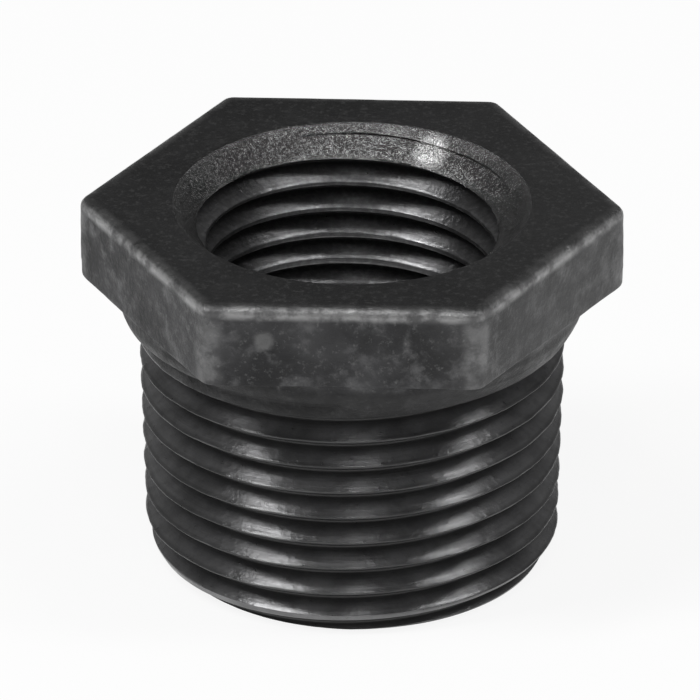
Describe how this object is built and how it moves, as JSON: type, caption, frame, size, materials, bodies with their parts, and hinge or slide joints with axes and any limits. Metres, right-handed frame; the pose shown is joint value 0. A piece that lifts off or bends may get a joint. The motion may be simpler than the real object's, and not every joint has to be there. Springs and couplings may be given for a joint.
{
  "type": "hex bushing",
  "caption": "Cast hexagonal reducing bushing: wrench head, tapered outside pipe thread and a smaller tapered inside pipe thread through the bore.",
  "frame": {"origin": "centre of the flat lower end of the shank, where the outside thread starts", "axes": "+Z along the bore axis from the threaded end to the head; two opposite wrench flats face +Y and -Y, two corners of the hexagon point along +X and -X"},
  "size_m": [0.0342, 0.0298, 0.024],
  "materials": {
    "black_iron": "as-cast black malleable iron, with bright cut threads darkened by oil"
  },
  "bodies": {
    "root": {"hex_bushing": "black_iron"}
  },
  "joints": []
}
